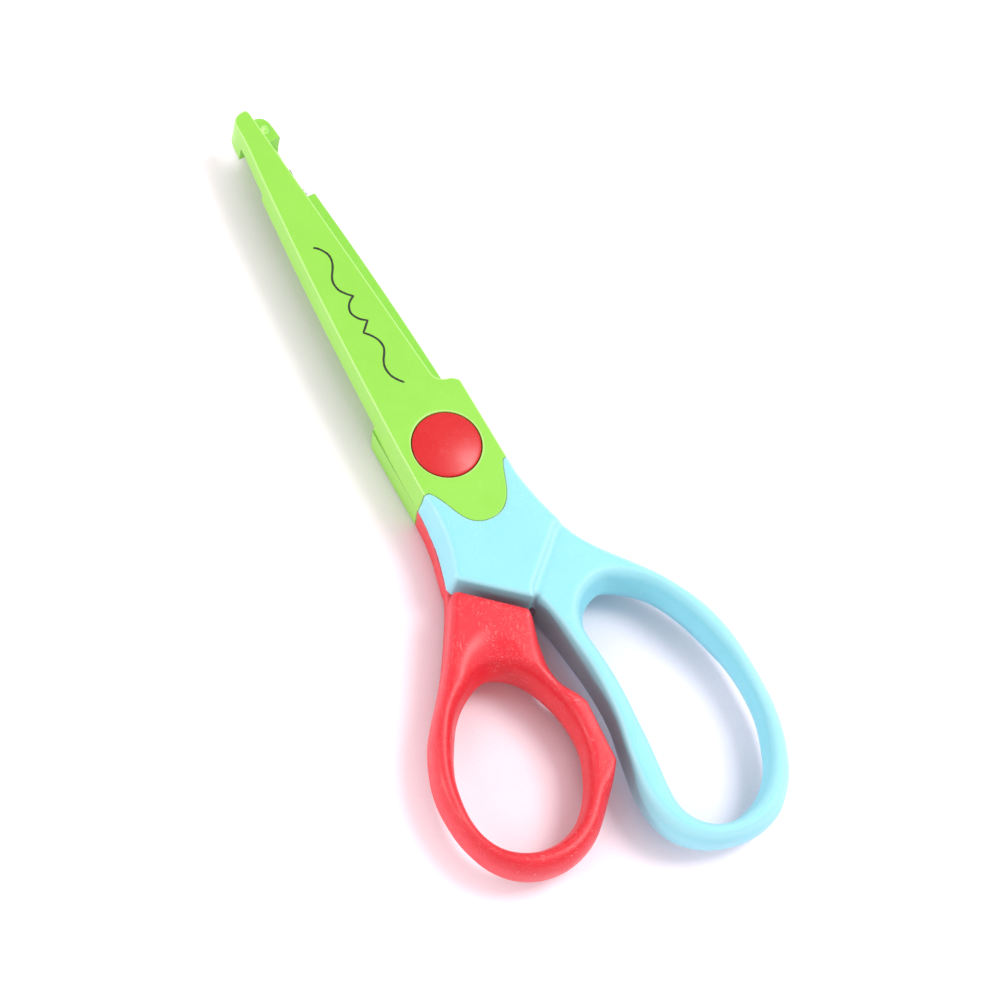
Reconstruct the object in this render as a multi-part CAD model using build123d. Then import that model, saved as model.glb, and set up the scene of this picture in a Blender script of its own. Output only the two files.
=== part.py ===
from build123d import *
import math
import os

# Decorative edge scissors, 6.5 inch (165 mm) class.
# Frame: origin on the pivot axis, in the flat rest plane of the rear half.
# +Z up through the pivot, +Y towards the blade tips, +X to the right.
# Each half owns one side of the shear plane: the rear half below, the front
# half above.  Rear pieces that match a front piece are built in the front
# position and turned over with flip().

# ---- driving dimensions (mm) ----------------------------------------------
TOTAL_T = 14.4            # outside to outside of the two blade shells
SHEAR_Z = TOTAL_T / 2     # plane in which the halves slide on one another
SHEAR_GAP = 0.05          # clearance of each half from the shear plane
FACE_Z = SHEAR_Z + SHEAR_GAP   # mating face of the front half
SLIP = 0.02               # gap between pieces moulded or pressed together
CLEAR_Z = 20.0            # a height above everything, for cutters
FRONT, REAR = 1, -1       # sign of the wave in each half as built


# ---- helpers ---------------------------------------------------------------
def at_height(point, z):
    return Vector(point[0], point[1], z)


def edge_of(segment, z):
    """segment is a list of plan points, or (points, start direction, end direction)."""
    if isinstance(segment, tuple):
        points, start_dir, end_dir = segment
        return Spline(*[at_height(p, z) for p in points],
                      tangents=[at_height(start_dir, 0), at_height(end_dir, 0)])
    points = [at_height(p, z) for p in segment]
    if len(points) == 2:
        return Line(*points)
    return Spline(*points)


def face_of(segments, z):
    """Closed face from a chain of segments; two points make a line,
    more make a smooth curve."""
    return Face(Wire([edge_of(segment, z) for segment in segments]))


def polygon_face(corners):
    return Face(Wire([Line(a, b) for a, b in zip(corners, corners[1:] + corners[:1])]))


def poly(points, z0, z1):
    """Straight prism over a polygon."""
    return extrude(polygon_face([at_height(p, z0) for p in points]),
                   amount=z1 - z0, dir=(0, 0, 1))


def rect(x0, y0, x1, y1):
    return [(x0, y0), (x1, y0), (x1, y1), (x0, y1)]


def tube(radius, z0, z1, x=0, y=0):
    """Solid upright cylinder."""
    return Pos(x, y, z0) * Cylinder(radius, z1 - z0,
                                    align=(Align.CENTER, Align.CENTER, Align.MIN))


def flip(shape):
    """Half-turn about the Y direction in the shear plane: front <-> rear."""
    return shape.rotate(Axis((0, 0, SHEAR_Z), (0, 1, 0)), 180)


def try_fillet(shape, edges, radius):
    """Fillet with the largest share of the radius that gives a valid solid."""
    for share in (1.0, 0.8, 0.6, 0.4):
        # guards against a radius that the kernel cannot fit on these edges
        try:
            rounded = fillet(edges, radius * share)
            if rounded.is_valid and rounded.volume > 0:
                return rounded
        except Exception:
            pass
    return shape


def grown(points, distance):
    """Polygon pushed out by distance, corner by corner."""
    count = len(points)
    area = sum(points[i][0] * points[(i + 1) % count][1]
               - points[(i + 1) % count][0] * points[i][1] for i in range(count))
    turn = 1.0 if area > 0 else -1.0

    def outward(start, end):
        dx, dy = end[0] - start[0], end[1] - start[1]
        length = math.hypot(dx, dy)
        return turn * dy / length, -turn * dx / length

    result = []
    for i in range(count):
        corner = points[i]
        before = outward(points[i - 1], corner)
        after = outward(corner, points[(i + 1) % count])
        reach = distance / (1.0 + before[0] * after[0] + before[1] * after[1])
        result.append((corner[0] + reach * (before[0] + after[0]),
                       corner[1] + reach * (before[1] + after[1])))
    return result


# ---- decorative wave -------------------------------------------------------
WAVE_START_R = 14.0       # radius at which the wave starts
WAVE_END_R = 73.4         # radius at which it stops
WAVE_SCALE = 0.98         # wave height over motif height
WAVE_STEP = 0.62          # spacing of the points along the wave
MOTIF_SHIFT = 0.9         # the motif is moved outwards by this much
MIRROR_GAP = 2.6          # between the motif's end and its mirrored copy
FLAT_R = 7.0              # the flat root of the strip starts outside this radius
# One motif of the wave: distance along the blade, height
MOTIF = [
    (14.3, 1.00), (15.4, 0.30), (16.7, -0.50), (18.5, -0.80), (20.0, -0.25),
    (21.3, 0.55), (22.6, 1.00), (24.1, 0.85), (25.5, 0.05), (26.5, -0.92),
    (27.4, -0.10), (28.5, 0.98), (29.8, -0.50), (31.2, -1.05), (32.6, -0.75),
    (33.4, 0.00), (34.1, 0.95), (35.0, 0.05), (36.3, -0.85), (37.9, -1.10),
    (39.3, -0.75), (40.8, 0.20), (42.3, 0.82), (43.8, 0.80), (45.2, 0.05)]


def wave_points():
    """The motif, then its mirror image, as (radius, height)."""
    points = [(WAVE_START_R, 0.0), (WAVE_START_R + 0.6, 0.45)]
    points += [(r + MOTIF_SHIFT, h * WAVE_SCALE) for r, h in MOTIF]
    motif_end = MOTIF[-1][0]
    for r, h in reversed(MOTIF[:-1]):
        radius = motif_end + MOTIF_SHIFT + (motif_end - r) + MIRROR_GAP
        if radius < WAVE_END_R - 0.4:
            points.append((radius, h * WAVE_SCALE))
    points.append((WAVE_END_R + 1.2, points[-1][1]))
    return points


def smooth_chain(points, step):
    """Points on a Catmull-Rom curve through the given ones, about step apart."""
    chain = []
    last = len(points) - 1
    for i in range(last):
        near = (points[max(i - 1, 0)], points[i], points[i + 1], points[min(i + 2, last)])
        pieces = max(1, int(round(math.dist(near[1], near[2]) / step)))
        for j in range(pieces):
            t = j / pieces
            chain.append(tuple(
                0.5 * (2 * b + (c - a) * t + (2 * a - 5 * b + 4 * c - d) * t * t
                       + (3 * b - a - 3 * c + d) * t ** 3)
                for a, b, c, d in zip(*near)))
    chain.append(points[-1])
    return chain


WAVE = smooth_chain(wave_points(), WAVE_STEP)


def wave_solid(z_off, z_edge, sign):
    """Body of revolution about the pivot between the wave, lifted by z_off,
    and the flat level z_edge.  The rear half is built upside down, so its
    wave has the opposite sign and both halves share one surface."""
    profile = [(FLAT_R, SHEAR_Z + z_off)]
    profile += [(r, SHEAR_Z + sign * h + z_off) for r, h in WAVE]
    profile += [(profile[-1][0], z_edge), (FLAT_R, z_edge)]
    face = polygon_face([Vector(r, 0, z) for r, z in profile])
    return revolve(face.rotate(Axis.Z, 50), Axis.Z, 90)


# ---- blade shell: plan outlines --------------------------------------------
# Points (x, y) in the front position.  TOP is the outer face, LOW the level
# of the ear's end; the sides slope between the two.
def cut_x(y):
    """Cutting side of the front blade."""
    return 4.30 - 0.0760 * (y - 14.5)


TIP_CORNER = (cut_x(76.9), 76.9)
CUT_ROOT = (cut_x(14.2), 14.2)
CUT_DIR = (0.0758, -0.9971)      # direction of the outline at the cutting side
SIDE_DIR = (0.0084, -1.0)        # and at the right side

SPINE_TOP = [
    (-8.74, -7.10), (-8.62, 0.0), (-8.42, 7.0), (-8.12, 14.0), (-7.66, 25.0),
    (-7.05, 36.0), (-6.28, 47.3), (-5.35, 58.5), (-4.58, 67.0), (-4.15, 72.5),
    (-4.14, 75.0), (-3.90, 76.2), (-3.30, 77.0), (-2.3, 77.5), (-0.85, 77.6)]
SPINE_LOW = [
    (-9.22, -7.10), (-9.10, 0.0), (-8.88, 7.0), (-8.55, 14.0), (-8.05, 25.0),
    (-7.42, 36.0), (-6.64, 47.3), (-5.70, 58.5), (-4.92, 67.0), (-4.36, 72.5),
    (-4.10, 75.4), (-3.75, 76.8), (-3.10, 77.6), (-2.15, 78.0), (-0.85, 78.1)]
# shoulder between the cutting side and the right side
BUMP_TOP = [CUT_ROOT, (4.55, 13.2), (5.14, 12.35), (6.25, 11.75), (7.45, 11.40),
            (8.28, 10.75), (8.62, 9.7)]
BUMP_LOW = [CUT_ROOT, (4.60, 13.35), (5.30, 12.55), (6.45, 12.05), (7.75, 11.70),
            (8.72, 10.95), (9.08, 9.7)]
HORN_R_TOP = (8.76, -6.9)        # lower right corner
HORN_R_LOW = (9.22, -6.9)
# tongue that the handle is moulded round, from right to left
TONGUE = [
    (7.90, -7.1), (7.25, -8.3), (6.55, -10.1), (5.40, -12.9), (4.10, -14.8), (2.60, -15.9),
    (0.40, -16.4), (-1.80, -16.0), (-3.55, -14.8), (-4.75, -12.9), (-5.90, -10.2),
    (-6.95, -8.1), (-7.75, -7.1)]


def shell_outline(spine, bump, horn):
    return [spine, [spine[-1], TIP_CORNER], [TIP_CORNER, CUT_ROOT], (bump, CUT_DIR, SIDE_DIR),
            [bump[-1], horn], [horn, TONGUE[0]], TONGUE, [TONGUE[-1], spine[0]]]


# ---- blade shell: sizes -----------------------------------------------------
EDGE_R = 0.8              # rounding of the shells' outer edges
JOINT_Y = -6.8            # below this the shell meets the handle
BLADE_IN_R = 13.8         # inside this radius the mating faces are flat
BLADE_Y = 11.0            # below this the mating face is flat too
EAR_LOW = 6.2             # level of the tip ear's end, past the shear plane
BELOW = EAR_LOW - 2       # where cutters from below start
WALL_LOW = 8.6            # underside of the spine wall
PLATE_LOW = 10.3          # underside of the plate between spine wall and ear
STEP_Y = {FRONT: 61.9, REAR: 60.0}   # where the spine wall stops
EAR_Y = 72.45             # where the ear begins
EAR_IN_X = -1.5           # inner face of the ear
EAR_SINK = (-2.62, 75.15, EAR_LOW - 0.50)   # centre of the ball cut into the ear
EAR_SINK_R = 1.05

CAP_SEAT_R = 6.62         # counterbore for the cap
CAP_SEAT_D = 1.9          # depth of that counterbore
WELL_R = 4.75             # well for screw head, nut and washers
WELL_FLOOR = 2.4          # material between shear plane and well floor
BORE_R = 3.05             # bore of both halves over the bushing

INSERT_T = 0.6            # thickness of the corrugated steel strips
PROUD = 0.15              # the steel edge stands this far out of the plastic
# plan of the corrugated strip
INSERT_SPINE = [(-1.75, 72.9), (-2.30, 67.8), (-3.05, 64.6), (-3.70, 61.4), (-3.20, 59.0),
                (-3.50, 47.5), (-4.10, 36.0), (-4.70, 24.0), (-5.20, 10.6), (3.9, 10.6)]
INSERT = INSERT_SPINE + [(cut_x(13.9) + 0.02, 13.9), (cut_x(14.6) + PROUD, 14.6),
                         (cut_x(72.9) + PROUD, 72.9)]
# the same plan run out past the cutting side, used to shape the shell
INSERT_WIDE = INSERT_SPINE + [(7.0, 13.9), (3.0, 72.9)]

PIN_AT = [(-2.2, 12.3), (-1.9, 33.0), (-1.9, 55.5)]
PIN_R = 0.8
PIN_HOLE_R = PIN_R + 0.01
PIN_Z0, PIN_Z1 = 5, 11.5
TANG = rect(-3.6, -15.0, 3.6, -22.5)   # key inside the handle
TANG_Z0, TANG_Z1 = 9.0, 12.2
TANG_HOLE_Y, TANG_HOLE_R = -19.0, 1.6

# slice taken off the cutting side of the rear plate, next to its ear
REAR_SLICE = [(3.72, 72.3), (3.78, 68.0), (4.00, STEP_Y[REAR] + 0.25),
              (7.0, STEP_Y[REAR] + 0.25), (7.0, 72.3)]


def make_shell(sign):
    shell = loft([face_of(shell_outline(SPINE_LOW, BUMP_LOW, HORN_R_LOW), EAR_LOW),
                  face_of(shell_outline(SPINE_TOP, BUMP_TOP, HORN_R_TOP), TOTAL_T)],
                 ruled=True)
    # flat mating face round the pivot
    shell = shell - tube(BLADE_IN_R, BELOW, FACE_Z)
    shell = shell - poly(rect(-12, -30, 12, BLADE_Y), BELOW, FACE_Z)
    # spine wall stops short of the shear plane, the plate next to the ear is
    # thinner still
    strip = poly(INSERT_WIDE, BELOW - 1, TOTAL_T)
    wall_cut = (poly(rect(-14, BLADE_Y, 14, EAR_Y), BELOW, WALL_LOW)
                - tube(BLADE_IN_R, BELOW - 1, WALL_LOW + 1) - strip)
    plate_cut = poly(rect(-14, STEP_Y[sign], 14, EAR_Y), WALL_LOW - 0.5, PLATE_LOW) - strip
    ear_cut = poly(rect(EAR_IN_X, EAR_Y - 0.7, 4, 80), BELOW, SHEAR_Z + 1.75)
    shell = shell - wall_cut - plate_cut - ear_cut
    # seat of the corrugated strip
    seat = poly(grown(INSERT_WIDE, SLIP * 1.5), BELOW - 1, TOTAL_T - 2)
    shell = shell - (seat & wave_solid(SHEAR_GAP + INSERT_T + SLIP, BELOW - 0.5, sign))
    for x, y in PIN_AT:
        shell = shell - tube(PIN_HOLE_R, PIN_Z0, PIN_Z1 + 0.1, x, y)
    # shallow sink in the mating face of the ear
    shell = shell - Pos(*EAR_SINK) * Sphere(EAR_SINK_R)
    # pivot seat, well and bore
    shell = shell - tube(CAP_SEAT_R, TOTAL_T - CAP_SEAT_D, TOTAL_T + 1)
    shell = shell - tube(WELL_R, SHEAR_Z + WELL_FLOOR, TOTAL_T)
    shell = shell - tube(BORE_R, 0, TOTAL_T)
    # key that holds the handle
    key = poly(TANG, TANG_Z0, TANG_Z1) - tube(TANG_HOLE_R, 0, CLEAR_Z, y=TANG_HOLE_Y)
    return shell + key


def flat_edges(shape, z, tolerance=0.02):
    """Edges that lie wholly at height z."""
    return [e for e in shape.edges()
            if abs(e.center().Z - z) < tolerance
            and abs(e.bounding_box().min.Z - z) < tolerance
            and abs(e.bounding_box().max.Z - z) < tolerance]


def rounded_shell(sign):
    """Shell with its outer face edges rounded, but not at the handle joint."""
    shell = make_shell(sign)
    rim = []
    for edge in flat_edges(shell, TOTAL_T):
        center = edge.center()
        on_axis = math.hypot(center.X, center.Y) < 1
        if edge.geom_type == GeomType.CIRCLE and on_axis:
            continue
        if center.Y >= JOINT_Y:
            rim.append(edge)
    return try_fillet(shell, rim, EDGE_R)


def rear_blade_shell():
    shell = flip(rounded_shell(REAR))
    return shell - poly(REAR_SLICE, -1, TOTAL_T - PLATE_LOW + 0.3)


# ---- corrugated steel strips and their pins --------------------------------
def cutting_insert(sign):
    lower = wave_solid(SHEAR_GAP, CLEAR_Z, sign)
    upper = wave_solid(SHEAR_GAP + INSERT_T, CLEAR_Z, sign)
    strip = (lower & poly(INSERT, 0, CLEAR_Z - 1)) - upper
    for x, y in PIN_AT:
        strip = strip - tube(PIN_HOLE_R, 0, CLEAR_Z, x, y)
    return strip


def insert_pins(sign):
    """Pins whose ends follow the wave."""
    lower = wave_solid(SHEAR_GAP, CLEAR_Z, sign)
    return [tube(PIN_R, PIN_Z0, PIN_Z1, x, y) & lower for x, y in PIN_AT]


# ---- handle neck (same on both, half-turned) -------------------------------
# Sides of the neck from the blade shell downwards, TOP and LOW as above, then
# the corners that join the right side's end to the left side's end.
NECK_R_TOP = [HORN_R_TOP, (8.95, -9.5), (9.25, -12.5), (10.12, -17.2), (11.45, -23.3)]
NECK_R_LOW = [HORN_R_LOW, (9.40, -9.5), (9.70, -12.5), (10.55, -17.2), (11.85, -23.3)]
NECK_L_TOP = [SPINE_TOP[0], (-8.58, -9.6), (-8.62, -12.2), (-8.98, -15.9), (-10.15, -20.2),
              (-11.35, -23.3)]
NECK_L_LOW = [SPINE_LOW[0], (-9.30, -9.6), (-9.60, -12.2), (-10.10, -15.9), (-11.20, -20.2),
              (-12.05, -23.0)]
NECK_END_TOP = [(9.90, -22.9), (0.60, -31.3), (-0.35, -33.15), (-11.15, -24.0)]
NECK_END_LOW = [(9.90, -23.6), (1.0, -31.9), (-0.60, -33.65), (-11.75, -24.2)]


def neck_outline(right, end, left):
    corners = [right[-1]] + end + [left[-1]]
    lines = [[a, b] for a, b in zip(corners, corners[1:])]
    return lines + [left[::-1], [left[0], TONGUE[-1]], TONGUE[::-1],
                    [TONGUE[0], right[0]], right]


def make_neck():
    low = neck_outline(NECK_R_LOW, NECK_END_LOW, NECK_L_LOW)
    top = neck_outline(NECK_R_TOP, NECK_END_TOP, NECK_L_TOP)
    return loft([face_of(low, FACE_Z), face_of(top, TOTAL_T)], ruled=True)


# ---- finger loops ------------------------------------------------------------
HANDLE_LOW = 1.0          # underside of the full thickness handle bodies
HANDLE_TOP = 13.4         # upper side of the full thickness handle bodies
LOOP_R = 1.7              # rounding of the finger loops
THUMB_OUT_R = 1.1         # rounding of the thumb loop's outer rim
LOOP_THIN = 1.3           # how much thinner the loops are, on each face
THIN_Y0, THIN_Y1 = -35.0, -66.0   # the thickness eases down between these
RIM_Y = -36               # rims are rounded below this
HOLE_REACH = 2.6          # an edge this near the hole's points belongs to it

# large loop: outer outline as a chain, hole as one closed curve
BIG_OUT = [
    [(0.55, -32.6), (1.15, -34.8), (1.85, -38.7), (2.30, -44.0), (2.75, -49.0), (2.80, -54.2),
     (2.40, -59.3), (1.50, -63.6), (0.50, -68.3), (-0.35, -72.3), (-0.55, -76.4), (0.16, -80.2),
     (1.57, -82.99), (3.69, -85.33), (6.86, -87.44), (10.03, -88.58), (13.48, -89.18),
     (17.36, -88.91), (20.83, -87.62), (23.52, -85.42), (25.6, -83.0), (27.38, -79.9),
     (29.12, -75.47), (30.38, -70.2), (30.85, -64.51), (30.87, -59.54), (30.45, -54.37),
     (29.17, -48.84), (27.0, -43.84), (24.12, -39.14), (21.07, -35.5), (17.9, -32.0),
     (15.6, -29.3), (13.6, -26.5), (11.95, -23.5)],
    [(11.95, -23.5), (9.9, -23.2)],
    [(9.9, -23.2), (0.8, -31.5)],
    [(0.8, -31.5), (0.55, -32.6)]]
BIG_HOLE = [
    (15.07, -36.96), (12.31, -36.41), (9.18, -37.67), (7.4, -39.9), (6.80, -42.6), (6.95, -46.0),
    (7.10, -51.3), (7.02, -56.5), (6.71, -61.2), (6.38, -65.9), (5.88, -70.0), (5.30, -74.5),
    (5.27, -78.3), (6.34, -81.12), (8.31, -83.26), (10.53, -84.38), (13.4, -84.81),
    (17.27, -83.82), (20.51, -81.68), (22.87, -78.69), (24.82, -74.68), (26.4, -70.03),
    (27.03, -64.89), (26.9, -59.37), (25.97, -54.36), (24.16, -48.35), (21.55, -42.94),
    (18.79, -39.56)]
# thumb loop, in its own rear position
SMALL_OUT = [
    [(-11.65, -23.6), (-13.3, -26.0), (-15.2, -29.0), (-17.4, -32.4), (-20.5, -36.8),
     (-23.8, -40.8), (-27.15, -44.6), (-29.85, -48.4), (-32.3, -54.0), (-33.3, -59.0),
     (-33.2, -64.4), (-32.4, -68.2), (-31.0, -71.8), (-28.8, -74.85), (-26.2, -77.0),
     (-23.7, -78.2), (-20.7, -78.9), (-17.4, -78.9), (-13.9, -78.0), (-10.8, -76.3),
     (-7.6, -73.4), (-4.5, -70.1), (-1.4, -66.1)],
    [(-1.4, -66.1), (-0.75, -54.3)],
    [(-0.75, -54.3), (-1.5, -52.5), (-2.75, -49.4), (-3.45, -45.8), (-3.2, -42.4),
     (-2.7, -39.6), (-1.75, -36.1), (-0.95, -33.4), (-0.8, -31.5)],
    [(-0.8, -31.5), (-9.9, -23.2)],
    [(-9.9, -23.2), (-11.65, -23.6)]]
SMALL_HOLE = [
    (-11.83, -42.41), (-14.06, -41.74), (-17.13, -42.45), (-20.54, -44.43), (-23.26, -47.0),
    (-25.54, -50.36), (-27.10, -53.1), (-28.49, -56.4), (-29.3, -60.15), (-29.5, -63.83),
    (-28.94, -67.23), (-27.54, -70.09), (-25.42, -72.16), (-22.55, -73.63), (-19.6, -74.09),
    (-16.4, -73.73), (-13.28, -72.52), (-10.74, -70.3), (-8.42, -67.16), (-6.64, -63.7),
    (-5.62, -60.8), (-5.25, -57.8), (-5.46, -54.06), (-6.54, -49.88), (-8.03, -46.41),
    (-9.68, -43.94)]
# Plans cut away where the other half's neck lies: below the shear plane from
# the front handle, above it from the rear one.
FRONT_STEP = [(40, -3.0), (13.6, -25.2), (2.25, -34.75), (-0.9, -36.2), (-30, -36.2),
              (-30, 10), (40, 10)]
REAR_STEP = [(-40, -20), (-14.5, -24.9), (-11.7, -25.95), (-1.90, -34.50), (-1.2, -36.6),
             (6, -37), (20, 5), (-40, 5)]
# ellipsoid that scoops the upper face of the thumb loop
SCOOP_AT = (-14.2, -43.8, HANDLE_TOP + 3.6)
SCOOP_TURN = 8
SCOOP_RADII = (6.6, 9.0, 7.6)


def side_profile():
    """Slab whose thickness eases from the grip block down to the loops."""
    def side(z, inward):
        a, b, c, d = (Vector(0, y, z + inward * thin)
                      for y, thin in ((20, 0), (THIN_Y0, 0), (THIN_Y1, LOOP_THIN),
                                      (-95, LOOP_THIN)))
        along = Vector(0, -1, 0)
        return [Line(a, b), Spline(b, c, tangents=[along, along]), Line(c, d)]
    upper = side(HANDLE_TOP, -1)
    lower = side(HANDLE_LOW, 1)
    ends = [Line(upper[0] @ 0, lower[0] @ 0), Line(upper[2] @ 1, lower[2] @ 1)]
    return extrude(Face(Wire(upper + lower + ends)), amount=50, both=True)


def loop_body(outer, hole):
    height = HANDLE_TOP - HANDLE_LOW
    body = extrude(face_of(outer, HANDLE_LOW), amount=height, dir=(0, 0, 1))
    curve = Spline(*[at_height(p, HANDLE_LOW - 1) for p in hole], periodic=True)
    cut = extrude(Face(Wire([curve])), amount=height + 2, dir=(0, 0, 1))
    return (body - cut) & side_profile()


def in_hole(edge, hole):
    """True if the edge lies on the hole's outline."""
    return all(min(math.dist((p.X, p.Y), h) for h in hole) < HOLE_REACH
               for p in (edge @ 0, edge @ 0.33, edge @ 0.66, edge @ 1))


def rim_edges(shape, top):
    """Outline edges of the upper or lower face of a loop body."""
    faces = [f for f in shape.faces() if (f.normal_at(f.center()).Z > 0.7) == top
             and abs(f.normal_at(f.center()).Z) > 0.7]
    rim = []
    for face in faces:
        for edge in face.edges():
            if sum(1 for f in faces for other in f.edges() if other.is_same(edge)) == 1:
                rim.append(edge)
    return rim


def key_room():
    """Room for the shell's tang, less the pin of handle material through it."""
    return (poly(grown(TANG, SLIP), TANG_Z0 - SLIP, TANG_Z1 + SLIP)
            - tube(TANG_HOLE_R - SLIP, 0, CLEAR_Z, y=TANG_HOLE_Y))


def front_handle():
    """Large loop with the front neck."""
    loop = loop_body(BIG_OUT, BIG_HOLE)
    rims = [e for top in (True, False) for e in rim_edges(loop, top)
            if e.center().Y < RIM_Y or e.length > 60]
    loop = try_fillet(loop, rims, LOOP_R)
    loop = loop - poly(FRONT_STEP, -1, FACE_Z)
    return loop + make_neck() - key_room()


def rear_handle():
    """Thumb loop with the rear neck."""
    loop = loop_body(SMALL_OUT, SMALL_HOLE)
    loop = loop - poly(REAR_STEP, SHEAR_Z - SHEAR_GAP, CLEAR_Z)
    hole_rims = [e for top in (True, False) for e in rim_edges(loop, top)
                 if -30 < e.center().X < -5 and -75 < e.center().Y < -41
                 and in_hole(e, SMALL_HOLE)]
    loop = try_fillet(loop, hole_rims, LOOP_R)
    for top in (False, True):
        outer = [e for e in rim_edges(loop, top)
                 if e.center().Y < RIM_Y and not in_hole(e, SMALL_HOLE)]
        loop = try_fillet(loop, outer, THUMB_OUT_R)
    # scooped hollow that leads into the thumb hole
    loop = loop - Pos(*SCOOP_AT) * Rot(0, 0, SCOOP_TURN) * scale(Sphere(1.0), by=SCOOP_RADII)
    return loop + flip(make_neck()) - flip(key_room())


# ---- pivot ------------------------------------------------------------------
CAP_R = 6.45              # pivot cap radius
CAP_PROUD = 0.75          # crown of the front cap above the shell
CAP_SINK = 0.25           # the crown starts this far below the shell's face
CAP_EDGE_R = 0.2          # rounding of the front cap's inner edge
SKIRT_R = WELL_R - 0.03   # outer radius of the ring that enters the well
SKIRT_LAP = 0.4           # overlap of that ring with the cap's disc
BUSH_R = 3.00             # outer radius of the bushing
BUSH_BORE_R = 2.05        # bore of the bushing
SCREW_R = 2.0             # M4 shank
WASHER_R = 4.4            # flat washers
WASHER_T = 0.5            # their thickness, SLIP included
WASHER_BORE_R = 2.15
ARCH_R = 4.2              # spring washer
ARCH_LIFT = 0.02          # height of its ends above its seat
ARCH_RISE = 0.40
ARCH_T = 0.25
HEAD_R = 3.6              # screw head
HEAD_H = 1.15
HEAD_EDGE_R = 0.35
SLOT_L, SLOT_W, SLOT_D = 4.6, 0.9, 0.6   # arms of the cross slot
NUT_FLATS = 7.0
NUT_T = 1.70

FLOOR_F = SHEAR_Z + WELL_FLOOR          # floor of the front well
FLOOR_R = SHEAR_Z - WELL_FLOOR          # floor of the rear well
BUSH_TOP = FLOOR_F + 0.12
ARCH_Z = BUSH_TOP + WASHER_T + SLIP     # seat of the spring washer
HEAD_Z = ARCH_Z + ARCH_LIFT + ARCH_RISE + ARCH_T + SLIP
HEAD_TOP = HEAD_Z + HEAD_H
SCREW_END = FLOOR_R - 2.35
NUT_TOP = FLOOR_R - WASHER_T - SLIP


def dome(z_base, crown, radius):
    """Shallow spherical cap standing on z_base."""
    ball_r = (radius * radius + crown * crown) / (2 * crown)
    ball = Pos(0, 0, z_base + crown - ball_r) * Sphere(ball_r)
    return ball & tube(radius + 1, z_base, z_base + crown + 1)


def front_pivot_cap():
    base = TOTAL_T - CAP_SEAT_D + SLIP
    shoulder = TOTAL_T - CAP_SINK
    disc = tube(CAP_R, base, shoulder) + dome(shoulder, CAP_PROUD + CAP_SINK, CAP_R)
    skirt = tube(SKIRT_R, base - 1.0, base + SKIRT_LAP) - tube(WELL_R - 0.9, base - 2, base)
    cap = disc + skirt
    rim = [e for e in cap.edges() if e.geom_type == GeomType.CIRCLE
           and abs(e.center().Z - base) < 1e-3 and e.radius > 6]
    return try_fillet(cap, rim, CAP_EDGE_R)


def rear_pivot_cap():
    """Flat cap, flush with the rest plane."""
    top = CAP_SEAT_D - SLIP
    skirt = tube(SKIRT_R, top - SKIRT_LAP, top + 0.8) - tube(WELL_R - 0.55, top, top + 2)
    return tube(CAP_R, 0.0, top) + skirt


def pivot_bushing():
    return tube(BUSH_R, FLOOR_R + SLIP, BUSH_TOP) - tube(BUSH_BORE_R, 0, CLEAR_Z)


def flat_washer(z0, z1):
    return tube(WASHER_R, z0, z1) - tube(WASHER_BORE_R, 0, CLEAR_Z)


def spring_washer():
    """Shallow arched ring under the screw head."""
    low = ARCH_Z + ARCH_LIFT
    high = low + ARCH_T
    section = Face(Wire([
        ThreePointArc((-ARCH_R, low), (0, low + ARCH_RISE), (ARCH_R, low)),
        Line((ARCH_R, low), (ARCH_R, high)),
        ThreePointArc((ARCH_R, high), (0, high + ARCH_RISE), (-ARCH_R, high)),
        Line((-ARCH_R, high), (-ARCH_R, low))]))
    arch = extrude(Plane.XZ * section, amount=6, both=True)
    return arch & (tube(ARCH_R, 0, CLEAR_Z) - tube(WASHER_BORE_R, 0, CLEAR_Z))


def pivot_screw():
    head = tube(HEAD_R, HEAD_Z, HEAD_TOP)
    rim = [e for e in head.edges() if abs(e.center().Z - HEAD_TOP) < 1e-3]
    head = try_fillet(head, rim, HEAD_EDGE_R)
    on_floor = (Align.CENTER, Align.CENTER, Align.MIN)
    slot = Pos(0, 0, HEAD_TOP - SLOT_D) * (Box(SLOT_L, SLOT_W, 2, align=on_floor)
                                           + Box(SLOT_W, SLOT_L, 2, align=on_floor))
    return (head - slot) + tube(SCREW_R, SCREW_END, HEAD_Z + 0.2)


def pivot_nut():
    hexagon = Pos(0, 0, NUT_TOP - NUT_T) * RegularPolygon(NUT_FLATS / 2, 6, major_radius=False)
    return extrude(hexagon, amount=NUT_T) - tube(SCREW_R + SLIP, 0, CLEAR_Z)


# ---- export -----------------------------------------------------------------
PARTS = {
    "front_blade_shell": rounded_shell(FRONT),
    "rear_blade_shell": rear_blade_shell(),
    "front_cutting_insert": cutting_insert(FRONT),
    "rear_cutting_insert": flip(cutting_insert(REAR)),
    "front_insert_pins": Compound(children=[p.solids()[0] for p in insert_pins(FRONT)]),
    "rear_insert_pins": Compound(children=[flip(p).solids()[0] for p in insert_pins(REAR)]),
    "front_handle": front_handle(),
    "rear_handle": rear_handle(),
    "front_pivot_cap": front_pivot_cap(),
    "rear_pivot_cap": rear_pivot_cap(),
    "pivot_bushing": pivot_bushing(),
    "head_washer": flat_washer(BUSH_TOP + SLIP, BUSH_TOP + WASHER_T),
    "spring_washer": spring_washer(),
    "pivot_screw": pivot_screw(),
    "nut_washer": flat_washer(FLOOR_R - WASHER_T, FLOOR_R - SLIP),
    "pivot_nut": pivot_nut(),
}

os.makedirs("parts", exist_ok=True)
for name, shape in PARTS.items():
    export_step(shape, "parts/" + name + ".step")
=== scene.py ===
"""Scissors with moulded blade shells and two unequal handle loops, lying flat.

The blades point along +Y and the handles along -Y. The pivot axis is Z, through
the origin. The front half is the upper one at the pivot; its big aqua loop lies
mostly at +X, the small red loop of the rear half at -X. Shapes are written in
millimetres and scaled to metres by MM.
"""
import math

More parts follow.
